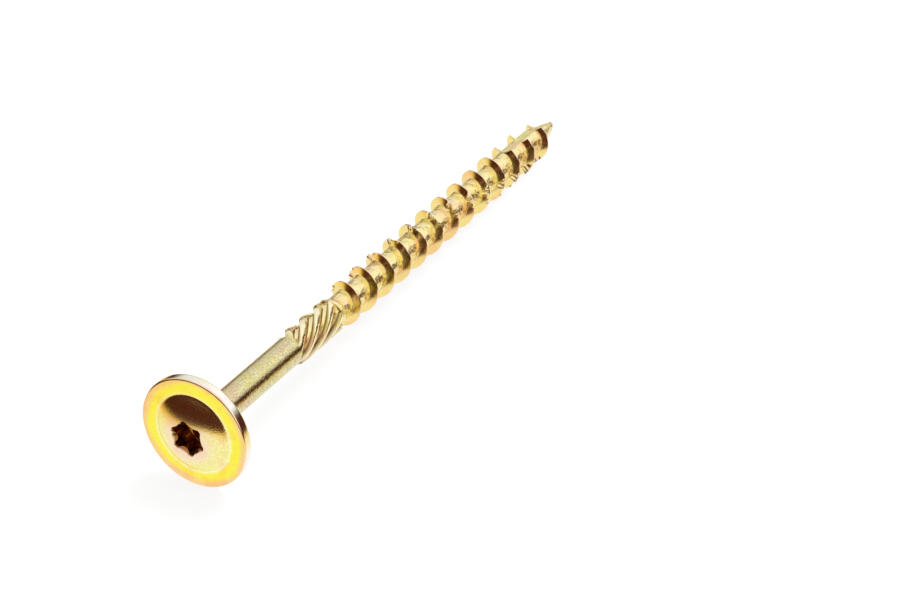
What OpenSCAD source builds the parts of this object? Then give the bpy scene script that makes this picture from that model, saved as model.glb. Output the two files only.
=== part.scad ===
// Wafer head wood screw, lying on its side: a flat flange with a domed middle and a six-lobe
// drive socket, a conical neck, a plain shank, milling flutes, a coarse thread with a nick in
// every turn, and a point with a cutting groove.
// Lengths along the screw are measured from the flat ring of the head towards the point.

/* [Hand] */
// Thread, flutes and nicks wind left-handed, as pictured
left_handed = true; // [true, false]

/* [Head] */
// Diameter of the flange
head_d = 22; // [18:0.5:28]
// Thickness of the flange
rim_h = 2.2; // [1.8:0.1:3.5]
// Rounding of both edges of the flange
rim_edge_r = 0.6; // [0.2:0.1:0.8]
// Diameter of the raised dome
dome_d = 15.5; // [12:0.1:17]
// Height of the dome's crown over the flat ring
dome_h = 2.5; // [1.6:0.1:3]

/* [Drive socket] */
// Diameter across the lobes
socket_d = 6.75; // [6.3:0.05:8]
// Diameter across the hollows between the lobes
socket_inner_d = 4.85; // [4:0.05:5.4]
// Rounding of each lobe
socket_lobe_r = 0.56; // [0.4:0.02:0.7]
// Depth from the dome's crown to the end of the lobes
socket_depth = 4.4; // [3:0.1:5]
// Depth of the cone at the bottom
socket_cone_h = 0.9; // [0.5:0.1:1.2]
// Turn of the lobes about the axis
socket_turn = 13.5; // [0:0.5:60]

/* [Neck and shank] */
// Diameter at which the neck's cone meets the underside of the flange
neck_d = 9; // [7:0.1:11]
// Length of the neck
neck_l = 5.3; // [3:0.1:8]
// Fillet between the flange and the neck
neck_fillet_r = 1.5; // [0.5:0.1:1.8]
// Diameter of the plain shank
shank_d = 5.7; // [5.2:0.1:6.4]
// Length from the underside of the flange to the milling flutes
shank_l = 28.6; // [15:0.1:60]

/* [Milling flutes] */
// Length of the fluted stretch
flute_l = 14.4; // [10:0.1:22]
// Diameter across the ridges
ridge_d = 6.9; // [6.6:0.1:7.6]
// Diameter at the bottom of the flutes
flute_d = 5.1; // [4.8:0.1:5.4]
// Number of ridges
ridges = 6; // [4:1:8]
// Length in which a ridge goes once round
flute_lead = 29.1; // [18:0.1:60]
// Turn of the ridges about the axis where they begin
flute_turn = 10; // [0:1:90]
// Length in which the ridges rise out of the shank
flute_run_in = 1.8; // [0.5:0.1:3]
// Diameter of the collar between the flutes and the thread
collar_d = 6.1; // [5.8:0.1:6.4]
// Length of the collar
collar_l = 0.8; // [0.4:0.1:2]

/* [Thread] */
// Outer diameter of the thread
thread_d = 8.1; // [7.4:0.1:9]
// Diameter of the core
core_d = 5.2; // [4.8:0.1:5.6]
// Rise of the thread in one turn
pitch = 6.065; // [5:0.005:7]
// Length from the milling flutes to the end of the point
thread_l = 85.6; // [60:0.1:140]
// Width of the crest
crest_w = 0.25; // [0.15:0.05:0.5]
// Axial width of each flank
flank_w = 0.45; // [0.3:0.05:0.8]
// Length in which the thread rises to its full height
thread_run_in = 5; // [3:0.1:10]
// Distance from the milling flutes to the first crest under the screw
first_crest = 2.7; // [0:0.05:6]

/* [Nicks] */
// Steps of the thread, of 54 in a turn, from the first crest under the screw to the first nick
nick_first = 38; // [20:1:54]
// Steps of the thread from one nick to the next
nick_steps = 51; // [44:1:64]
// Width of a nick
nick_w = 0.9; // [0.8:0.1:1.6]
// Depth of a nick
nick_depth = 1.1; // [0.4:0.1:1.3]

/* [Point] */
// Length of the bare cone at the end of the point
point_l = 8.5; // [6:0.1:12]
// Diameter of the core where the thread ends
point_mid_d = 3; // [2.4:0.1:3.6]
// Diameter at the end of the point
point_d = 1.3; // [0.8:0.1:2]
// Slant of the blunt end
point_slant = 42; // [0:1:50]
// Turn of the long side of the blunt end about the axis
point_turn = 231; // [0:1:360]
// Length in which the thread's height falls away
crest_fade_l = 4.5; // [3:0.1:8]
// Share of the thread's height already lost before that
crest_taper = 0.14; // [0:0.01:0.25]
// Length in which that share is lost
crest_taper_l = 7; // [4:0.5:12]
// Thickness left under the cutting groove, from the axis
groove_floor_r = 2.35; // [1.9:0.05:2.45]
// Radius of the cutting groove
groove_r = 3.5; // [1.8:0.1:4]
// Length of the cutting groove, from the end of the point
groove_l = 18.5; // [10:0.5:30]
// Turn of the cutting groove about the axis
groove_turn = 194; // [0:1:360]

/* [Hidden] */
$fn = 96;
plating = [0.86, 0.72, 0.38];
hand = left_handed ? -1 : 1;
head_r = head_d / 2;
shank_r = shank_d / 2;
core_r = core_d / 2;
crest_r = thread_d / 2;
// Places along the axis
flutes_at = rim_h + shank_l;
thread_at = flutes_at + flute_l;
tip_at = thread_at + thread_l;
// Ball that the dome is a cap of
dome_ball_r = (pow(dome_d / 2, 2) + pow(dome_h, 2)) / (2 * dome_h);
// Socket: centres of the lobes and of the hollows that touch them, and where they touch
lobe_at = socket_d / 2 - socket_lobe_r;
hollow_out = socket_inner_d / 2;
hollow_r = (pow(socket_lobe_r, 2) - pow(hollow_out, 2) - pow(lobe_at, 2)
    + 2 * hollow_out * lobe_at * cos(30)) / (2 * (hollow_out - lobe_at * cos(30) - socket_lobe_r));
hollow_at = hollow_out + hollow_r;
touch_share = socket_lobe_r / (socket_lobe_r + hollow_r);
touch_r = norm([
    lobe_at + touch_share * (hollow_at * cos(30) - lobe_at),
    touch_share * hollow_at * sin(30)
]);
// Cone of the neck, and the centre of its fillet
neck_r = neck_d / 2;
neck_angle = atan((neck_r - shank_r) / neck_l);
fillet_x = neck_r + neck_fillet_r * (1 - sin(neck_angle)) / cos(neck_angle);
fillet_y = rim_h + neck_fillet_r;
// Overlap of neighbouring stretches inside the screw
lap = 0.3;
// Thread: points in one turn, and the angle between them
turn_steps = 54;
step_angle = 360 / turn_steps;
// Buried start of the core, more than one turn inside the milling flutes
buried_r = flute_d / 2 - 0.25;
core_rise_l = 0.6;
buried_at = thread_at - pitch - core_rise_l;
// Turns back from the first crest under the screw to the buried start
back_turns = ceil((thread_at + first_crest - buried_at) / pitch);
helix_at = thread_at + first_crest - back_turns * pitch;
// The thread's height ends at fade_at; the helix goes on buried in the point's cone
cone_at = tip_at - point_l;
fade_at = cone_at + 0.6 * point_l;
steps = ceil((fade_at - helix_at) / pitch * turn_steps);
// Profile of one turn as [share of the pitch, share of the height]
profile = [
    [0, 1],
    [crest_w / pitch, 1],
    [(crest_w + flank_w) / pitch, 0],
    [1 - flank_w / pitch, 0]
];
rows = len(profile);

function clamp01(x) = min(1, max(0, x));
function smooth(x) = let (c = clamp01(x)) c * c * (3 - 2 * c);

// Radius of the wound core: buried start, full core, then a dive into the point's cone
function core_at(s) = let (
        full = buried_r + (core_r - buried_r) * smooth((s - thread_at) / core_rise_l)
    ) full - (full - point_d / 3) * clamp01((s - cone_at) / (fade_at - cone_at));

// Height of the thread: it runs in after the flutes and falls away at the point
function height_at(s) = let (
        run_in = smooth((s - thread_at) / thread_run_in + 0.1),
        left = clamp01((fade_at - s) / crest_fade_l),
        lost = crest_taper * smooth((s - fade_at + crest_fade_l) / crest_taper_l + 1)
    ) run_in * (1 - lost) * (1 - pow(1 - left, 2));

// Radius of the crest over the axis, which follows the core but not its dive
function crest_at(s) = let (
        cone = core_r + (point_mid_d / 2 - core_r) * clamp01((s - cone_at) / (fade_at - cone_at))
    ) cone + (crest_r - core_r) * height_at(s) - lap * (1 - clamp01(8 * height_at(s)));

// Place along the axis, crowded together inside the cone after the thread has ended
function place_at(s) = s < fade_at ? s : fade_at + (1 - exp((fade_at - s) / 1.2)) * 1.2;

// Radius that the nearest nick leaves at a step of the thread
function nick_at(i) = let (
        from_first = i - back_turns * turn_steps - nick_first,
        number = max(0, round(from_first / nick_steps)),
        off = abs(from_first - number * nick_steps) * step_angle * PI / 180 * crest_r
    ) crest_r - nick_depth * (1 - clamp01(2 * off / nick_w));

// Point of the thread's skin: step along the helix, and row of the profile
function skin(i, p) = let (
        angle = i * step_angle,
        s = helix_at + pitch * (i / turn_steps + profile[p][0]),
        crest = max(core_at(s), min(crest_at(s), nick_at(i))),
        r = core_at(s) + (crest - core_at(s)) * profile[p][1]
    ) [r * cos(angle), hand * r * sin(angle), place_at(s)];

// Crests on the underside, and the tilt at which the screw rests on its rim and one of them
crest_count = floor((cone_at - helix_at) / pitch);
function rest_tilt(s) = let (
        drop = head_r - rim_edge_r - crest_at(s),
        run = s - rim_h + rim_edge_r
    ) acos(-rim_edge_r / norm([drop, run])) - atan2(run, drop);
crests = [for (k = [back_turns + 2:crest_count]) for (w = [0, crest_w]) helix_at + k * pitch + w];
tilt = min([for (s = crests) rest_tilt(s)]);
rest_h = (rim_h - rim_edge_r) * sin(tilt) + (head_r - rim_edge_r) * cos(tilt) + rim_edge_r;
// Distance from the middle of the part's length to the head's flat ring
ring_back = (tip_at * cos(tilt) - dome_h) / 2;

// Half section of the head, neck and shank, with the axis at x = 0
module turned_section() {
    edge = rim_edge_r;
    translate([0, edge]) square([head_r, rim_h - 2 * edge]);
    square([head_r - edge, rim_h]);
    for (y = [edge, rim_h - edge]) translate([head_r - edge, y]) circle(edge);
    intersection() {
        translate([0, dome_ball_r - dome_h]) circle(dome_ball_r);
        translate([0, -dome_h]) square([dome_d / 2, dome_h + rim_h / 2]);
    }
    polygon([
        [0, rim_h / 2],
        [neck_r, rim_h / 2],
        [neck_r, rim_h],
        [shank_r, rim_h + neck_l],
        [shank_r, flutes_at + lap],
        [0, flutes_at + lap]
    ]);
    difference() {
        polygon([
            [neck_r - neck_fillet_r / 2, rim_h / 2],
            [fillet_x, rim_h / 2],
            [fillet_x, fillet_y],
            [fillet_x - neck_fillet_r * cos(neck_angle), fillet_y - neck_fillet_r * sin(neck_angle)]
        ]);
        translate([fillet_x, fillet_y]) circle(neck_fillet_r);
    }
}

// Drive socket: recess with six round lobes, and six hollows left standing between them
module drive_socket() {
    // The middle circle reaches just past the places where lobes and hollows touch
    translate([0, 0, -dome_h - lap]) linear_extrude(socket_depth + lap) difference() {
        union() {
            circle(touch_r + lap / 6);
            for (i = [0:5]) rotate(hand * socket_turn + 60 * i)
                translate([lobe_at, 0]) circle(socket_lobe_r);
        }
        for (i = [0:5]) rotate(hand * socket_turn + 30 + 60 * i)
            translate([hollow_at, 0]) circle(hollow_r);
    }
    translate([0, 0, socket_depth - dome_h])
        cylinder(h = socket_cone_h, d1 = socket_inner_d - lap, d2 = socket_inner_d / 3);
}

// Head, neck and shank with the drive socket cut in
module turned_body() {
    difference() {
        rotate_extrude() turned_section();
        drive_socket();
    }
}

// Fluted stretch: wound ridges with a steep side and a sloping side
module milling_flutes() {
    share = 360 / ridges;
    corners = [
        [-0.64, flute_d], [-0.45, flute_d], [-0.1, ridge_d], [0.02, ridge_d], [0.18, flute_d]
    ];
    section = [
        for (i = [0:ridges - 1]) for (corner = corners)
            let (a = hand * ((i + corner[0]) * share + flute_turn)) corner[1] / 2 * [cos(a), sin(a)]
    ];
    translate([0, 0, flutes_at]) intersection() {
        linear_extrude(flute_l, twist = -hand * 360 * flute_l / flute_lead, slices = 20, $fn = 0)
            polygon(section);
        rotate_extrude() polygon([
            [0, -lap],
            [shank_r - lap, -lap],
            [ridge_d / 2 + lap, flute_run_in],
            [ridge_d / 2 + lap, flute_l + lap],
            [0, flute_l + lap]
        ]);
    }
}

// Collar after the flutes, falling to the core
module collar() {
    translate([0, 0, thread_at - lap]) cylinder(h = collar_l + lap, d = collar_d);
    translate([0, 0, thread_at + collar_l])
        cylinder(h = collar_l, d1 = collar_d, d2 = core_d - lap);
}

// Core and thread as one skin wound along the helix
module thread() {
    last = steps + turn_steps;
    // Rows of whole profiles, then the first profile points that close the last turn
    points = concat(
        [for (i = [0:steps]) for (p = [0:rows - 1]) skin(i, p)],
        [for (i = [steps + 1:last]) skin(i, 0)],
        [[0, 0, helix_at + pitch / 2], [0, 0, place_at(fade_at + pitch / 2)]]
    );
    start_pole = len(points) - 2;
    end_pole = len(points) - 1;
    // Number of a point; row "rows" is the first row one turn on
    function at(i, p) = p == rows ? at(i + turn_steps, 0)
        : i <= steps ? i * rows + p : (steps + 1) * rows + i - steps - 1;
    quads = [for (i = [0:steps - 1]) for (p = [0:rows - 1]) each [
        [at(i, p), at(i, p + 1), at(i + 1, p + 1)],
        [at(i, p), at(i + 1, p + 1), at(i + 1, p)]
    ]];
    start_edge = concat(
        [for (i = [0:turn_steps]) at(i, 0)],
        [for (p = [rows - 1:-1:1]) at(0, p)]
    );
    end_edge = concat(
        [for (p = [0:rows - 1]) at(steps, p)],
        [for (i = [last:-1:steps + 1]) at(i, 0)]
    );
    start_cap = [for (j = [0:len(start_edge) - 1])
        [start_edge[j], start_edge[(j + 1) % len(start_edge)], start_pole]];
    end_cap = [for (j = [0:len(end_edge) - 1])
        [end_edge[j], end_edge[(j + 1) % len(end_edge)], end_pole]];
    wound = [for (face = concat(quads, start_cap, end_cap))
        hand > 0 ? face : [face[0], face[2], face[1]]];
    polyhedron(points, wound);
}

// Cone at the end, buried at its start in the core, with a slanted blunt end
module point_cone() {
    difference() {
        rotate_extrude() polygon([
            [0, cone_at - pitch],
            [core_r - lap, cone_at - pitch],
            [core_r - 0.05, cone_at],
            [point_mid_d / 2, fade_at],
            [point_d / 2, tip_at],
            [0, tip_at]
        ]);
        rotate(hand * point_turn) translate([point_d / 2, 0, tip_at]) rotate([0, -point_slant, 0])
            translate([-core_d, -core_d, 0]) cube(2 * core_d);
    }
}

// Round cutter of the groove, with a ball at its start
module groove() {
    rotate(hand * groove_turn) translate([groove_floor_r + groove_r, 0, tip_at - groove_l]) {
        cylinder(h = groove_l + lap, r = groove_r);
        sphere(groove_r);
    }
}

module screw() {
    color(plating)
        translate([-ring_back, 0, rest_h]) rotate([0, 90 + tilt, 0]) {
            turned_body();
            milling_flutes();
            collar();
            difference() {
                union() {
                    thread();
                    point_cone();
                }
                groove();
            }
        }
}

screw();
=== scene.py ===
import bpy
import bmesh
import math
import numpy as np
from mathutils import Matrix, Vector


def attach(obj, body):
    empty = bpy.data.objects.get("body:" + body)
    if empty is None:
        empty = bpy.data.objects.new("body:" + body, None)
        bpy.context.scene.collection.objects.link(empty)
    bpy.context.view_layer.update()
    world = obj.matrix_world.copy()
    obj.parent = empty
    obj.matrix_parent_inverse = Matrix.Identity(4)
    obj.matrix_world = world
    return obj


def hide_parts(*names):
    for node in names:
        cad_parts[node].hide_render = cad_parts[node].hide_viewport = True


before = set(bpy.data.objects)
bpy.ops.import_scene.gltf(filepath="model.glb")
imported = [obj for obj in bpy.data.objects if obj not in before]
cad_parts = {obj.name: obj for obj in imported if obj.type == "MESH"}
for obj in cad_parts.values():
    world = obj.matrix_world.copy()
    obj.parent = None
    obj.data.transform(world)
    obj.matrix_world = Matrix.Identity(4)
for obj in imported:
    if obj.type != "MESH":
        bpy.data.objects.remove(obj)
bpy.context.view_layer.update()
print("frame loaded")

# lengths in mm, along the axis from the flat ring of the head towards the point
lie = {
    "ring": (-64.0341, 0.0, 11.0768),  # middle of the flat ring
    "tilt": 3.41214,                   # the axis falls towards the point, degrees
    "hand": -1,                        # winding as pictured
}
skin = {
    "columns": 168,   # points round the axis, a multiple of the ridges
    "merge": 2e-6,    # m, closes seams and poles
    "sliver": 1e-7,   # m, shortest edge that stays
    "sharp": 38,      # degrees between faces that stay a sharp edge
}
columns = skin["columns"]
hand = lie["hand"]
fullTurn = 2 * math.pi
aroundEven = np.arange(columns) * fullTurn / columns


def smooth(x):
    # slow start, slow end: 3x^2 - 2x^3 between 0 and 1
    c = np.clip(x, 0, 1)
    return c * c * (3 - 2 * c)


def reached(x, limits):
    # 0 up to the first limit, 1 from the second
    low, high = limits
    return np.clip((x - low) / (high - low), 0, 1)


def ring(radius, along, around=aroundEven):
    # one row of the skin: radius, place along the axis and angle of every column
    one = np.ones(columns)
    return np.stack([radius * one, along * one, around * one])


head = {
    "radius": 11.0, "thick": 2.2, "edge": 0.6, "frontEdge": 0.36,
    "domeRadius": 7.75, "domeHeight": 2.5, "domeFoot": 0.22, "footSpread": 2.3,
    "flatRows": (8.5, 9.0, 9.6, 10.2), "underRows": (9.2, 7.8, 6.6),  # radii between the edges
}
socket = {
    "radius": 3.375, "innerRadius": 2.425, "lobe": 0.56, "depth": 4.4, "cone": 0.9,
    "coneRadius": 2.25, "coneTip": 0.8, "turn": 13.5,
    "mouth": 0.2, "reach": 0.45, "dip": 0.5,  # chamfer, and how much wider and deeper in the hollows
}
neck = {"radius": 4.5, "length": 5.3, "fillet": 1.5, "shank": 2.85, "shankLength": 28.6}
flutesAt = head["thick"] + neck["shankLength"]


def socketEdge(around):
    # round lobes and round hollows that touch: on a lobe the far side of its circle,
    # d cos(a) + sqrt(r^2 - d^2 sin^2(a)), and elsewhere the near side of the hollow's circle
    lobe, inner, share = socket["lobe"], socket["innerRadius"], math.radians(60)
    lobeAt, c = socket["radius"] - lobe, math.cos(math.radians(30))
    over = lobe ** 2 - inner ** 2 - lobeAt ** 2 + 2 * inner * lobeAt * c
    hollow = over / (2 * (inner - lobeAt * c - lobe))
    hollowAt = inner + hollow
    touch = lobe / (lobe + hollow)
    touchAngle = math.atan2(touch * hollowAt / 2, lobeAt + touch * (hollowAt * c - lobeAt))
    off = (around - math.radians(hand * socket["turn"]) + share / 2) % share - share / 2
    onLobe = lobeAt * np.cos(off) + np.sqrt(np.maximum(lobe ** 2 - (lobeAt * np.sin(off)) ** 2, 0))
    side = share / 2 - np.abs(off)
    under = np.maximum(hollow ** 2 - (hollowAt * np.sin(side)) ** 2, 0)
    onHollow = hollowAt * np.cos(side) - np.sqrt(under)
    return np.where(np.abs(off) < touchAngle, onLobe, onHollow)


def domeAlong(radius):
    # ball through the crown and the foot of the dome
    ball = (head["domeRadius"] ** 2 + head["domeHeight"] ** 2) / (2 * head["domeHeight"])
    return ball - head["domeHeight"] - np.sqrt(ball ** 2 - radius ** 2)


def socketRows(edge):
    # cone-shaped bottom, wall along the lobed edge, and a straight chamfer at the mouth
    rows = []
    floor = socket["depth"] - head["domeHeight"]
    tip, cone = socket["coneTip"], socket["cone"]
    for radius in (0.0, 0.35, tip):
        rows.append(ring(radius, floor + cone))
    for t in (0.33, 0.66, 1.0):
        rows.append(ring(tip + (socket["coneRadius"] - tip) * t, floor + cone * (1 - t)))
    rows.append(ring(0.5 * (socket["coneRadius"] + edge), floor))
    hollowShare = (socket["radius"] - edge) / (socket["radius"] - socket["innerRadius"])
    mouth = socket["mouth"] + socket["reach"] * hollowShare
    dip = socket["mouth"] + socket["dip"] * hollowShare
    lip = domeAlong(edge + mouth)
    for t in (0.0, 0.03, 0.2, 0.4, 0.6, 0.8, 0.95, 1.0):
        rows.append(ring(edge, floor + (lip + dip - floor) * t))
    for t in (0.05, 0.5, 0.95):
        rows.append(ring(edge + mouth * t, lip + dip * (1 - t)))
    return rows, edge + mouth


def headRows():
    # half section turned about the axis: socket, dome, flat ring, rim, underside, neck, shank
    rows, mouthEnd = socketRows(socketEdge(aroundEven))
    wallRows = len(rows) - 1  # painted shade as far as the last row of the chamfer
    foot = head["domeRadius"] - head["domeFoot"]
    for t in np.linspace(0, 1, 18):
        radius = mouthEnd * (1 - t) + foot * t
        rows.append(ring(radius, domeAlong(radius)))
    # hollow curve from the dome's slope into the flat ring
    slope = domeAlong(foot)
    for t in (0.2, 0.4, 0.6, 0.8, 1.0):
        rows.append(ring(foot + head["footSpread"] * head["domeFoot"] * t, slope * (1 - t) ** 2))
    e = head["frontEdge"]
    for radius in head["flatRows"] + (head["radius"] - e,):
        rows.append(ring(radius, 0.0))
    for a in np.radians(np.arange(10, 91, 10)):
        rows.append(ring(head["radius"] - e + e * np.sin(a), e * (1 - np.cos(a))))
    rimRow = len(rows) - 1
    e, flatEnd = head["edge"], head["radius"] - head["edge"]
    for t in (0.33, 0.66):
        rows.append(ring(head["radius"], head["frontEdge"] + (head["thick"] - head["frontEdge"] - e) * t))
    for a in np.radians(np.arange(0, 91, 10)):
        rows.append(ring(flatEnd + e * np.cos(a), head["thick"] - e + e * np.sin(a)))
    # fillet that touches the underside and the cone of the neck
    lean = math.atan((neck["radius"] - neck["shank"]) / neck["length"])
    midR = neck["radius"] + neck["fillet"] * (1 - math.sin(lean)) / math.cos(lean)
    midS = head["thick"] + neck["fillet"]
    for radius in head["underRows"]:
        rows.append(ring(radius, head["thick"]))
    for a in np.linspace(0, math.pi / 2 - lean, 9):
        rows.append(ring(midR - neck["fillet"] * np.sin(a), midS - neck["fillet"] * np.cos(a)))
    endR = midR - neck["fillet"] * math.cos(lean)
    endS = midS - neck["fillet"] * math.sin(lean)
    coneEnd = head["thick"] + neck["length"]
    for t in (0.35, 0.7, 0.93):
        rows.append(ring(endR + (neck["shank"] - endR) * t, endS + (coneEnd - endS) * t))
    for along in np.concatenate([[coneEnd + 0.5], np.linspace(coneEnd + 2, flutesAt, 12)]):
        rows.append(ring(neck["shank"], along))
    return rows, wallRows, rimRow


flutes = {
    "length": 14.4, "ridge": 3.45, "floor": 2.55, "count": 6, "lead": 29.1, "turn": 10.0,
    "runIn": 1.8, "gap": 0.4, "relief": 0.35,
    "gapRows": ((0.04, 2.6), (0.3, 2.55), (0.36, 2.95)),  # behind the ridges, and the radius there
    "foot": (0.075, 0.034),                               # painted shade at the foot of a ridge: place and width
}
threadAt = flutesAt + flutes["length"]
# one ridge round the section: share of the ridge's arc, and height between floor and ridge
ridgeShape = [
    (-0.64, 0.0), (-0.60, 0.06), (-0.48, 0.42), (-0.34, 0.70), (-0.20, 0.88), (-0.08, 0.98),
    (0.01, 1.0), (0.03, 0.96), (0.06, 0.16), (0.09, 0.0), (0.18, 0.0), (0.36, 0.0),
]
ridgeColumns = {"byHeight": 0.16, "least": 0.012}  # more columns where the profile turns


def fluteRows():
    # the ridge profile repeated round the section and wound with the lead; every column follows
    # its own line of the ridge, so the edges stay sharp
    count, share = flutes["count"], fullTurn / flutes["count"]
    perRidge = columns // count
    knots, heights = np.array(ridgeShape).T
    steps = np.hypot(np.diff(knots), ridgeColumns["byHeight"] * np.diff(heights))
    weight = np.cumsum(steps + ridgeColumns["least"])
    weight = np.concatenate([[0], weight]) / weight[-1]
    places = np.interp(np.arange(perRidge) / perRidge, weight, knots)
    places = np.tile(places, count) + np.repeat(np.arange(count), perRidge)
    height = np.interp((places - knots[0]) % 1 + knots[0], knots, heights)
    # columns in rising angle
    base = (hand * (places * share + math.radians(flutes["turn"]))) % fullTurn
    order = np.argsort(base)
    base, height, places = base[order], height[order], places[order]
    # paler towards the ridge tops and darker on the floors: painted highlight and painted shade
    ribTones = between(height, tones["ribs"])
    # a dark line at the foot of each ridge: painted shade
    footAt, footWide = flutes["foot"]
    foot = np.exp(-(((places - knots[0]) % 1 + knots[0] - footAt) / footWide) ** 2)[:, None]
    ribTones = ribTones * (1 - foot) + tint("fluteFootShade") * foot
    rows = []
    end = flutes["length"] - flutes["gap"]
    full = flutes["floor"] + (flutes["ridge"] - flutes["floor"]) * height
    for z in np.concatenate([[0.05, 0.3, 0.6, 0.9, 1.2, 1.5], np.linspace(1.8, end, 40)]):
        rise = smooth(z / flutes["runIn"])
        rows.append(ring(neck["shank"] + (full - neck["shank"]) * rise, flutesAt + z,
                         base + hand * fullTurn * z / flutes["lead"]))
    last = rows[-1][2]
    for behind, radius in flutes["gapRows"]:
        rows.append(ring(radius, flutesAt + end + behind, last))
    return rows, ribTones


thread = {
    "crest": 4.05, "core": 2.6, "pitch": 6.065, "length": 85.6, "first": 2.7,
    "crestWide": 0.25, "headFlank": 0.45, "pointFlank": 0.15, "rootRound": 0.35, "rootRise": 0.03,
    "runIn": 5.0, "startRise": 0.06, "collar": 3.05, "collarLength": 0.8, "collarFall": 0.9,
    "firstRing": 0.05,
}
nicks = {
    "first": 253.3, "step": 340.0, "wide": 1.35, "deep": 1.35, "steep": 1.25,
    "burr": 0.13, "push": 0.4, "burrAt": 1.15, "burrWide": 0.55,
    "burrFrom": (0.48, 1.28),  # height of the thread at which burrs begin and are full
}
point = {
    "cone": 8.5, "middle": 1.5, "middleAt": 0.6, "end": 0.65, "slant": 42.0, "turn": 231.0, "fade": 4.5,
    "grooveFloor": 2.35, "groove": 4.5, "grooveLength": 17.5, "grooveTurn": 195.0, "grooveLeast": 0.3,
    "grooveSoft": (0.3, 0.06),  # rounding where the groove meets the core and the crest
    "grooveEdge": 0.15, "taper": 0.14, "taperLength": 7.0,
}
tipAt = threadAt + thread["length"]


def coreRadius(along):
    # collar, then the core, then the straight cone of the point in two stretches
    fall = thread["collarFall"]
    collarEnd = threadAt + thread["collarLength"]
    core = thread["core"] + (thread["collar"] - thread["core"]) * smooth((collarEnd + fall - along) / fall)
    coneAt = tipAt - point["cone"]
    return np.interp(along, [coneAt - 1, coneAt, coneAt + point["middleAt"] * point["cone"], tipAt],
                     [1, 1, point["middle"] / thread["core"], point["end"] / thread["core"]]) * core


def crestHeight(along):
    # rises after the collar and falls away on the point's cone
    fadeAt = tipAt - (1 - point["middleAt"]) * point["cone"]
    left = np.clip((fadeAt - along) / point["fade"], 0, 1)
    late = 1 - point["taper"] * smooth((along - fadeAt + point["fade"]) / point["taperLength"] + 1)
    full = thread["crest"] - thread["core"]
    start = smooth((along - threadAt) / thread["runIn"] + thread["startRise"])
    return full * start * (1 - (1 - left) ** 2) * late


def nickCut(wound):
    # a notch once in every nick step along the wound edge, and the burrs beside it
    step, first = math.radians(nicks["step"]), math.radians(nicks["first"])
    number = np.maximum(np.round((wound - first) / step), 0)
    off = (wound - first - number * step) * thread["crest"]
    half = nicks["wide"] / 2
    notch = nicks["deep"] * smooth(nicks["steep"] * (1 - np.abs(off) / half))
    burr = np.exp(-((np.abs(off) - nicks["burrAt"] * half) / (nicks["burrWide"] * half)) ** 2)
    return notch, burr


def threadRows(turned):
    # places of the rows in one turn's profile, repeated turn by turn from a full turn before the
    # first ring, and the part of the thread's height at each
    pitch, wide, root = thread["pitch"], thread["crestWide"], thread["rootRound"]
    fall, rise = thread["pointFlank"], thread["headFlank"]
    valleyFrom, valleyTo = wide + fall, pitch - rise
    inTurn = np.concatenate([
        [0.0, wide * 0.5], wide + fall * np.array([0, 0.12, 0.4, 0.7, 0.9]),
        valleyFrom + root * np.array([0, 0.5, 1.0]),
        np.linspace(valleyFrom + 0.75, valleyTo - 0.75, 10),
        valleyTo - root * np.array([1.0, 0.5, 0]),
        valleyTo + rise * np.array([0.1, 0.3, 0.6, 0.88]),
    ])
    start = threadAt + thread["first"]
    start -= pitch * math.ceil((start - threadAt + max(turned, 0)) / pitch)
    turns = math.ceil((tipAt - start) / pitch) + 3
    share = np.tile(inTurn, turns)
    turnAt = np.repeat(start + pitch * np.arange(turns), len(inTurn))
    height = np.interp(share, [0, wide, valleyFrom, valleyTo, pitch], [1, 1, 0, 0, 1])
    nearRoot = np.minimum(np.abs(share - valleyFrom), np.abs(share - valleyTo))
    height += thread["rootRise"] * np.clip(1 - nearRoot / root, 0, 1) ** 2
    return turnAt, share, height, len(inTurn)


def softLow(a, b, k):
    # the lower of two values, rounded over where they cross
    h = np.clip(0.5 + 0.5 * (b - a) / k, 0, 1)
    return b + (a - b) * h - k * h * (1 - h)


def grooveReach(along, around):
    # round groove: the near side of its cutter is the furthest the skin may reach
    free = 99  # where there is no groove
    off = around - math.radians(hand * point["grooveTurn"])
    far = point["grooveFloor"] + point["groove"]
    ball = np.clip(tipAt - point["grooveLength"] - along, 0, None)
    under = point["groove"] ** 2 - ball ** 2 - (far * np.sin(off)) ** 2
    cut = np.maximum(far * np.cos(off) - np.sqrt(np.maximum(under, 0)), point["grooveLeast"])
    return np.where((under > 0) & (np.cos(off) > 0), cut, free)


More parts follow.
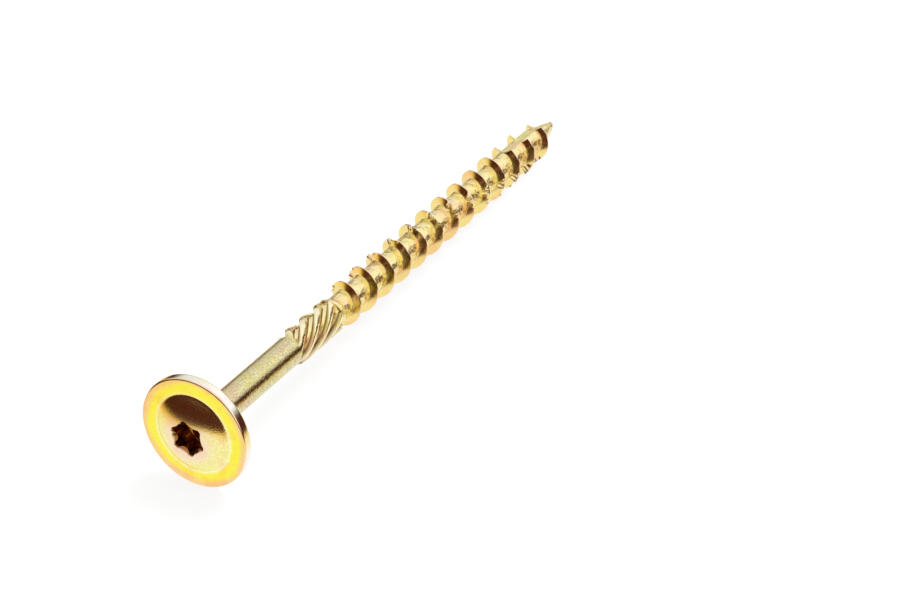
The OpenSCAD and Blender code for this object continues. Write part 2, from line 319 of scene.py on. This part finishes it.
def threadGrid(firstAngle):
    # the skin wound along the helix: a row keeps its place in the turn's profile and moves one
    # pitch along the axis in one turn, so the crest is a line of the grid; what lies before the
    # flutes or behind the end is gathered on the first ring or at the point
    around = (firstAngle + aroundEven)[None, :]
    lead = -hand * thread["pitch"] / fullTurn
    turnAt, share, height, perTurn = threadRows(-lead * firstAngle)
    height = height[:, None]
    crestLine = turnAt[:, None] - lead * around
    raw = crestLine + share[:, None]
    firstAt = threadAt + thread["firstRing"]
    along = np.clip(raw, firstAt, tipAt)
    wound = fullTurn * (crestLine - threadAt - thread["first"]) / thread["pitch"]
    notch, burr = nickCut(wound)
    full = crestHeight(along)
    burr *= reached(full, nicks["burrFrom"])
    crest = np.maximum(np.minimum(full, thread["crest"] - thread["core"] - notch), 0)
    radius = coreRadius(along) + (crest + nicks["burr"] * burr) * height
    along = along - nicks["push"] * burr * height ** 3
    cut = grooveReach(along, around)
    grooved = np.clip((radius - cut) / point["grooveEdge"], 0, 1)
    onCore, onCrest = point["grooveSoft"]
    radius = softLow(radius, cut, onCore + (onCrest - onCore) * np.clip(height, 0, 1))
    # slanted end, and the pole that closes it
    fall = math.tan(math.radians(point["slant"]))
    reach = radius * np.cos(around - math.radians(hand * point["turn"]))
    along = np.minimum(along, tipAt - np.clip(fall * (point["end"] - reach), 0, None))
    behind = raw >= tipAt
    radius = np.where(behind, 0.0, np.where(raw <= firstAt, coreRadius(firstAt), radius))
    along = np.where(behind, tipAt - fall * point["end"], along)
    toPoint = (share < thread["pitch"] / 2)[:, None]
    tints = woundTint(height, toPoint, grooved, burr, radius.shape)
    relief = (1 - smooth(height / tones["lumpsTo"])) * (1 - tones["grooveCalm"] * grooved)
    return radius, along, np.broadcast_to(around, radius.shape), perTurn, tints, relief


def placed(radius, along, around):
    # cylinder coordinates of the screw, in mm, to the lying part's frame, in metres
    tilt = math.radians(lie["tilt"])
    axis = np.array([math.cos(tilt), 0, -math.sin(tilt)])
    down = np.array([-math.sin(tilt), 0, -math.cos(tilt)])
    side = np.array([0, 1.0, 0])
    return (np.array(lie["ring"]) + along[..., None] * axis
            + (radius * np.cos(around))[..., None] * down
            + (radius * np.sin(around))[..., None] * side) / 1000


# plating by stretch, with painted shade in the socket, at the ridges' feet and floors, at the thread's
# roots and on the point-facing flanks, and a painted highlight on the rim: colour on a screen under white
# light, how satin and how grainy it is
plating = {
    # the socket colour is dark brown: painted shade in the recess
    "socket": (160, 112, 58, 0.1, 0.1), "domeInner": (252, 230, 196, 0.26, 0.2),
    "dome": (254, 244, 166, 0.2, 0.5), "foot": (255, 252, 196, 0.2, 0.2),
    "flat": (255, 243, 84, 0.12, 0.12), "flatEdge": (252, 210, 152, 0.2, 0.12),
    # the rim colour is near white: a painted highlight all round the rim
    "rim": (255, 250, 240, 0.15, 0.2), "under": (250, 226, 120, 0.3, 0.4),
    "shank": (228, 217, 170, 0.32, 1.0),
    # the flute floor colour is a little darker than the ridge top colour: painted shade on the floors,
    # painted highlight on the tops
    "fluteFloor": (255, 238, 182, 0.12, 0.2), "flute": (255, 244, 204, 0.12, 0.2),
    # the dark colour at the foot of each ridge is painted shade
    "fluteFootShade": (90, 52, 20, 0.3, 0.2), "core": (255, 240, 182, 0.5, 0.25),
    # the root colour of the head-facing flank is darker and yellower: painted shade towards the thread's
    # root
    "headFlank": (250, 226, 146, 0.2, 0.15), "headRootShade": (246, 214, 100, 0.3, 0.15),
    # the point-facing flank colour is near black: painted shade
    "pointFlank": (64, 31, 10, 0.4, 0.1), "crest": (252, 222, 190, 0.2, 0.15),
    "groove": (255, 244, 176, 0.8, 0.2), "bare": (255, 250, 230, 0.15, 0.1),
    "gloss": (0.11, 0.46),  # roughness where it is bright and where it is satin
}
# where the colours change: radii on the front, places along the axis behind it, in mm
tones = {
    "front": [(4.0, "domeInner"), (6.0, "dome"), (7.5, "dome"), (7.75, "foot"), (7.9, "foot"),
              (8.1, "flat"), (10.1, "flat"), (10.7, "flatEdge"), (11.2, "rim")],
    "back": [(1.7, "rim"), (2.15, "under"), (4.0, "under"), (8.0, "shank")],
    # the peach edge: how far in, its waves by number, size and start, and the radii it keeps to
    "wander": 0.48, "waves": [(1, 0.4, 0.9), (3, 0.2, 1.0), (8, 0.12, 0.0)],
    "wanderFrom": (8.4, 9.6), "wanderTo": 10.6,
    # shares of the ridges' and of the thread's height
    "ribs": [(0.0, "fluteFloor"), (0.6, "fluteFloor"), (0.95, "flute")],
    "flankFrom": (0.08, 0.28), "outer": (0.05, 0.40), "worn": (0.93, 0.99), "fresh": (0.5, 0.9),
    "lumpsTo": 0.15, "grooveCalm": 0.6,
}


def tint(name):
    # screen colour to linear light, with the satin and grain shares behind it
    c = np.array(plating[name][:3]) / 255
    return np.append(np.where(c <= 0.04045, c / 12.92, ((c + 0.055) / 1.055) ** 2.4), plating[name][3:])


def between(x, stops):
    # colours laid at places along a line, with even change from one to the next
    places = [place for place, name in stops]
    table = np.array([tint(name) for place, name in stops])
    return np.stack([np.interp(x, places, channel) for channel in table.T], -1)


def turnedTint(radius, along, around, wallRows, rimRow, ribTones):
    # the front of the head is coloured by radius, with a peach edge that wanders in and out round
    # the flat ring, what follows by its place along the axis
    wander = tones["wander"] + sum(size * np.sin(n * around + start) for n, size, start in tones["waves"])
    shifted = radius + wander * smooth(reached(radius, tones["wanderFrom"]))
    front = between(np.minimum(shifted, np.maximum(radius, tones["wanderTo"])), tones["front"])
    number = np.arange(len(radius))[:, None, None]
    # the socket's walls and most of the chamfer take the dark socket colour: painted shade in the recess
    front = np.where(number < wallRows, tint("socket"), front)
    back = between(along, tones["back"])
    ribbed = smooth((along - flutesAt) / flutes["runIn"])[..., None]
    back = back * (1 - ribbed) + ribTones * ribbed
    return np.where(number < rimRow, front, back)


def woundTint(height, toPoint, grooved, burr, shape):
    # core, flanks with painted shade (darker towards the root on the head side, near black on the point
    # side), a worn crest, bare metal on the burrs, and the groove of the point
    up = reached(height, tones["flankFrom"])[..., None]
    outer = smooth(reached(height, tones["outer"]))[..., None]
    # towards the root the head-facing flank is darker and yellower: painted shade
    headTone = tint("headRootShade") * (1 - outer) + tint("headFlank") * outer
    # the point-facing flank is near black: painted shade
    flankTone = np.where(toPoint[..., None], tint("pointFlank"), headTone)
    tone = tint("core") * (1 - up) + flankTone * up
    worn = reached(height, tones["worn"])[..., None]
    tone = tone * (1 - worn) + tint("crest") * worn
    fresh = (burr * reached(height, tones["fresh"]))[..., None]
    tone = np.broadcast_to(tone, shape + tone.shape[-1:]) * (1 - fresh) + tint("bare") * fresh
    return tone * (1 - grooved[..., None]) + tint("groove") * grooved[..., None]


def makeScrew():
    # head and flutes as closed rows, then the wound rows, joined into one grid
    headPart, wallRows, rimRow = headRows()
    flutePart, ribTones = fluteRows()
    rows = np.array(headPart + flutePart)
    radius, along, around = rows[:, 0], rows[:, 1], rows[:, 2]
    tRadius, tAlong, tAround, perTurn, tTints, tRelief = threadGrid(around[-1, 0])
    plain, wound = len(radius), len(tRadius)
    points = np.concatenate([placed(radius, along, around).reshape(-1, 3),
                             placed(tRadius, tAlong, tAround).reshape(-1, 3)])
    turned = turnedTint(radius, along, around, wallRows, rimRow, ribTones)
    tints = np.concatenate([turned.reshape(-1, 5), tTints.reshape(-1, 5)])
    relief = np.concatenate([(flutes["relief"] * (along > flutesAt + 1)).ravel(), tRelief.ravel()])
    # plain rows close on themselves, wound rows one turn further on
    j, i = np.meshgrid(np.arange(plain - 1), np.arange(columns), indexing="ij")
    nextI = (i + 1) % columns
    quads = np.stack([j * columns + i, j * columns + nextI,
                      (j + 1) * columns + nextI, (j + 1) * columns + i], -1).reshape(-1, 4)

    def number(j, i):
        passed = i == columns
        row = np.clip(np.where(passed, j + hand * perTurn, j), 0, wound - 1)
        return (plain + row) * columns + np.where(passed, 0, i)

    # the first wound row is gathered on the ring that follows the flutes
    j, i = np.meshgrid(np.arange(-1, wound - 1), np.arange(columns), indexing="ij")
    onRing = (plain - 1) * columns
    lower = np.where(j < 0, onRing + i, number(np.maximum(j, 0), i))
    lowerNext = np.where(j < 0, onRing + (i + 1) % columns, number(np.maximum(j, 0), i + 1))
    woundQuads = np.stack([lower, lowerNext, number(j + 1, i + 1), number(j + 1, i)], -1).reshape(-1, 4)
    return points, np.concatenate([quads, woundQuads]), tints, relief


def makeMesh(name, points, quads, tints, relief):
    # numbers into a mesh, doubles merged so that seams and poles close, then normals outwards
    mesh = bpy.data.meshes.new(name)
    mesh.from_pydata(points, [], quads)
    layer = mesh.attributes.new("tint", "FLOAT_COLOR", "POINT")
    layer.data.foreach_set("color", tints[:, :4].astype(np.float32).ravel())
    grainy = mesh.attributes.new("grainy", "FLOAT", "POINT")
    grainy.data.foreach_set("value", tints[:, 4].astype(np.float32))
    uneven = mesh.attributes.new("relief", "FLOAT", "POINT")
    uneven.data.foreach_set("value", relief.astype(np.float32))
    work = bmesh.new()
    work.from_mesh(mesh)
    bmesh.ops.remove_doubles(work, verts=work.verts, dist=skin["merge"])
    bmesh.ops.dissolve_degenerate(work, edges=work.edges, dist=skin["sliver"])
    bmesh.ops.recalc_face_normals(work, faces=work.faces)
    work.to_mesh(mesh)
    work.free()
    mesh.polygons.foreach_set("use_smooth", np.ones(len(mesh.polygons), bool))
    mesh.set_sharp_from_angle(angle=math.radians(skin["sharp"]))
    piece = bpy.data.objects.new(name, mesh)
    bpy.context.collection.objects.link(piece)
    return piece


screw = makeMesh("screw_body", *makeScrew())
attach(screw, "root")
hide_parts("screw")
print("screw made:", len(screw.data.polygons), "faces")


def link(tree, start, socketOut, end, socketIn):
    tree.links.new(start.outputs[socketOut], end.inputs[socketIn])


def addNode(tree, kind, **values):
    node = tree.nodes.new(kind)
    for key, value in values.items():
        setattr(node, key, value)
    return node


def calc(tree, operation, *values):
    # one sum of plain numbers and node outputs
    node = addNode(tree, "ShaderNodeMath", operation=operation)
    for place, value in zip(node.inputs, values):
        if isinstance(value, (int, float)):
            place.default_value = value
        else:
            tree.links.new(value, place)
    return node.outputs[0]


def rescale(tree, value, limits, results=(0.0, 1.0), **options):
    # the limits become the results, and no further
    node = addNode(tree, "ShaderNodeMapRange", **options)
    tree.links.new(value, node.inputs["Value"])
    for name, limit in zip(("From Min", "From Max", "To Min", "To Max"), (*limits, *results)):
        node.inputs[name].default_value = limit
    return node.outputs["Result"]


def colourRamp(tree, stops):
    # colours at places between 0 and 1
    node = addNode(tree, "ShaderNodeValToRGB")
    elements = node.color_ramp.elements
    for end, (place, colour) in zip(elements, (stops[0], stops[-1])):
        end.position, end.color = place, (*colour, 1)
    for place, colour in stops[1:-1]:
        elements.new(place).color = (*colour, 1)
    return node


grain = {
    "speckle": 3000.0, "mottle": 260.0, "lump": 620.0,  # scales, per metre
    "bump": 0.000045, "lumpBump": 0.00045,              # m
    "specks": ((0.3, 0.7), (0.68, 1.18)),
    "drift": [(0.34, (1.0, 0.84, 0.88)), (0.5, (1, 1, 1)), (0.68, (0.99, 0.98, 0.74))],
}


def noise(tree, place, scale, detail):
    # noise over the piece's own place, in metres
    node = addNode(tree, "ShaderNodeTexNoise")
    node.inputs["Scale"].default_value = scale
    node.inputs["Detail"].default_value = detail
    link(tree, place, "Object", node, "Vector")
    return node.outputs["Fac"]


def multiplied(tree, first, second):
    # one colour times another
    node = addNode(tree, "ShaderNodeMix", data_type="RGBA", blend_type="MULTIPLY")
    node.inputs["Factor"].default_value = 1.0
    tree.links.new(first, node.inputs["A"])
    tree.links.new(second, node.inputs["B"])
    return node


def platingMaterial():
    # metal in the colours of the tint attribute, made uneven by drifts, specks and lumps
    material = bpy.data.materials.new("yellow_zinc")
    material.use_nodes = True
    tree = material.node_tree
    shader = tree.nodes["Principled BSDF"]
    shader.inputs["Metallic"].default_value = 1.0
    place = addNode(tree, "ShaderNodeTexCoord")
    tone = addNode(tree, "ShaderNodeAttribute", attribute_name="tint")
    share = addNode(tree, "ShaderNodeAttribute", attribute_name="grainy")
    rolled = addNode(tree, "ShaderNodeAttribute", attribute_name="relief")
    # drifts of pink and green over the yellow
    drift = colourRamp(tree, grain["drift"])
    tree.links.new(noise(tree, place, grain["mottle"], 3.0), drift.inputs["Fac"])
    drifted = multiplied(tree, tone.outputs["Color"], drift.outputs["Color"])
    # fine grain of the plating: darker specks, and a shallow relief
    speckle = noise(tree, place, grain["speckle"], 2.0)
    shade = multiplied(tree, drifted.outputs["Result"], rescale(tree, speckle, *grain["specks"]))
    link(tree, share, "Fac", shade, "Factor")
    link(tree, shade, "Result", shader, "Base Color")
    gloss = rescale(tree, tone.outputs["Alpha"], (0.0, 1.0), plating["gloss"])
    tree.links.new(gloss, shader.inputs["Roughness"])
    bump = addNode(tree, "ShaderNodeBump")
    link(tree, share, "Fac", bump, "Strength")
    bump.inputs["Distance"].default_value = grain["bump"]
    tree.links.new(speckle, bump.inputs["Height"])
    # lumps left by rolling
    uneven = addNode(tree, "ShaderNodeBump")
    uneven.inputs["Distance"].default_value = grain["lumpBump"]
    link(tree, rolled, "Fac", uneven, "Strength")
    tree.links.new(noise(tree, place, grain["lump"], 2.0), uneven.inputs["Height"])
    link(tree, bump, "Normal", uneven, "Normal")
    link(tree, uneven, "Normal", shader, "Normal")
    return material


screw.data.materials.append(platingMaterial())
print("plating made")

view = {
    "from": (-365.5, -265.5, 356.0),  # from the middle of the flat ring, mm
    "right": (0.50644, -0.86226, 0.00388),
    "up": (0.50529, 0.30042, 0.80897),
    "back": (-0.69871, -0.40774, 0.58784),
    "tilt": 3.43,                     # fall of the axis for which these hold, degrees
    "lens": 130.1,
}


def addCamera():
    # the photograph's view: right, up and back measured there, turned with the lying axis
    data = bpy.data.cameras.new("camera")
    data.lens, data.sensor_width = view["lens"], 36
    data.clip_start, data.clip_end = 0.01, 20
    camera = bpy.data.objects.new("camera", data)
    bpy.context.collection.objects.link(camera)
    turn = Matrix.Rotation(math.radians(lie["tilt"] - view["tilt"]), 3, "Y")
    axes = Matrix([turn @ Vector(view[name]) for name in ("right", "up", "back")]).transposed()
    place = (Vector(lie["ring"]) + turn @ Vector(view["from"])) / 1000
    camera.matrix_world = Matrix.Translation(place) @ axes.to_4x4()
    bpy.context.scene.camera = camera


# lengths in metres
paper = {
    "size": 3.0, "shade": (0.95, 0.95, 0.95, 1), "shadow": 0.2,
    "half": 0.078, "margin": 0.036,    # half the white sheet's length, and its margin round that
    "spread": (0.25, 0.6),             # how fast it ends lengthways and sideways
    "edge": (0.3, 1.3),                # where it turns warm, in margins
    "glow": (0.95, 0.70, 0.20),        # between the white sheet and the dark
}
room = {
    "dark": (0.070, 0.012, 0.005),     # near the horizon and behind the camera, in the metal
    "sky": (1.08, 0.78),               # above the screw, and low on the far side
    "farFrom": (-0.2, 0.8),
    # how high the dark reaches: all round, on the far side, ahead on the near side, behind the camera
    "even": 0.08, "far": 0.05, "near": 0.44, "behind": 0.7, "soft": 0.16,
    "aheadFrom": (-0.3, 0.3), "behindFrom": (-0.8, -0.2),
    "boxAt": (0.55, -0.10, 0.85), "boxSize": (0.7, 0.5), "boxPower": 8.0,
}


def mixedShader(tree, share, first, second):
    # from the first shader to the second by a share, a number or a node output
    node = addNode(tree, "ShaderNodeMixShader")
    if isinstance(share, float):
        node.inputs["Fac"].default_value = share
    else:
        tree.links.new(share, node.inputs["Fac"])
    tree.links.new(first.outputs[0], node.inputs[1])
    tree.links.new(second.outputs[0], node.inputs[2])
    return node


def mirroredPaper(tree):
    # white near the screw's own length and width, then warm, then as dark as the room
    place = addNode(tree, "ShaderNodeTexCoord")
    split = addNode(tree, "ShaderNodeSeparateXYZ")
    link(tree, place, "Object", split, "Vector")
    lengthways, sideways = paper["spread"]
    beyond = calc(tree, "SUBTRACT", calc(tree, "ABSOLUTE", split.outputs["X"]), paper["half"])
    ahead = calc(tree, "MULTIPLY", calc(tree, "MAXIMUM", beyond, 0.0), lengthways)
    beside = calc(tree, "MULTIPLY", split.outputs["Y"], sideways)
    away = calc(tree, "SQRT", calc(tree, "ADD", calc(tree, "MULTIPLY", ahead, ahead),
                                   calc(tree, "MULTIPLY", beside, beside)))
    turning = colourRamp(tree, [(0, (1, 1, 1)), (0.5, paper["glow"]), (1, room["dark"])])
    limits = [share * paper["margin"] for share in paper["edge"]]
    tree.links.new(rescale(tree, away, limits), turning.inputs["Fac"])
    glow = addNode(tree, "ShaderNodeEmission")
    link(tree, turning, "Color", glow, "Color")
    return glow


def addFloor():
    # white for the camera, with the shadow; in the metal, a sheet of paper that ends in the dark room
    size = paper["size"]
    mesh = bpy.data.meshes.new("floor")
    mesh.from_pydata([(-size, -size, 0), (size, -size, 0), (size, size, 0), (-size, size, 0)], [],
                     [(0, 1, 2, 3)])
    floor = bpy.data.objects.new("floor", mesh)
    bpy.context.collection.objects.link(floor)
    material = bpy.data.materials.new("floor_paper")
    material.use_nodes = True
    tree = material.node_tree
    tree.nodes.remove(tree.nodes["Principled BSDF"])
    path = addNode(tree, "ShaderNodeLightPath")
    matt = addNode(tree, "ShaderNodeBsdfDiffuse")
    matt.inputs["Color"].default_value = paper["shade"]
    white = addNode(tree, "ShaderNodeEmission")
    seen = mixedShader(tree, paper["shadow"], white, matt)
    other = mixedShader(tree, path.outputs["Is Glossy Ray"], matt, mirroredPaper(tree))
    final = mixedShader(tree, path.outputs["Is Camera Ray"], other, seen)
    tree.links.new(final.outputs[0], tree.nodes["Material Output"].inputs["Surface"])
    mesh.materials.append(material)


def mirroredRoom(tree):
    # dark below a line that rises on the near side and behind the camera, pale above it
    place = addNode(tree, "ShaderNodeTexCoord")
    split = addNode(tree, "ShaderNodeSeparateXYZ")
    link(tree, place, "Generated", split, "Vector")
    x, y, z = (split.outputs[name] for name in "XYZ")
    far = calc(tree, "MULTIPLY", calc(tree, "MAXIMUM", y, 0.0), room["far"])
    near = calc(tree, "MULTIPLY", calc(tree, "MINIMUM", y, 0.0), -room["near"])
    near = calc(tree, "MULTIPLY", near, rescale(tree, x, room["aheadFrom"]))
    behind = calc(tree, "MULTIPLY", calc(tree, "MINIMUM", x, 0.0), -room["behind"])
    behind = calc(tree, "MULTIPLY", behind, rescale(tree, y, room["behindFrom"]))
    reach = calc(tree, "ADD", far, calc(tree, "ADD", near, behind))
    over = calc(tree, "SUBTRACT", z, reach)
    limits = (room["even"] - room["soft"], room["even"] + room["soft"])
    sky = addNode(tree, "ShaderNodeMix", data_type="RGBA")
    sky.inputs["A"].default_value = (*room["dark"], 1)
    tree.links.new(rescale(tree, y, room["farFrom"], room["sky"]), sky.inputs["B"])
    tree.links.new(rescale(tree, over, limits, interpolation_type="SMOOTHSTEP"), sky.inputs["Factor"])
    return sky


def addLight():
    # white for the camera and for matt surfaces; in the metal, a dark room under a pale ceiling
    world = bpy.data.worlds.new("studio")
    world.use_nodes = True
    tree = world.node_tree
    path = addNode(tree, "ShaderNodeLightPath")
    choose = addNode(tree, "ShaderNodeMix", data_type="RGBA")
    choose.inputs["A"].default_value = (1, 1, 1, 1)
    link(tree, path, "Is Glossy Ray", choose, "Factor")
    tree.links.new(mirroredRoom(tree).outputs["Result"], choose.inputs["B"])
    tree.links.new(choose.outputs["Result"], tree.nodes["Background"].inputs["Color"])
    bpy.context.scene.world = world
    lamp = bpy.data.lights.new("softbox", "AREA")
    lamp.shape, lamp.energy = "RECTANGLE", room["boxPower"]
    lamp.size, lamp.size_y = room["boxSize"]
    box = bpy.data.objects.new("softbox", lamp)
    box.location = room["boxAt"]
    box.rotation_mode = "QUATERNION"
    box.rotation_quaternion = Vector(room["boxAt"]).to_track_quat("Z", "Y")
    box.visible_glossy = False
    bpy.context.collection.objects.link(box)


addCamera()
addFloor()
addLight()
bpy.context.scene.view_settings.view_transform = "Standard"
print("studio ready")
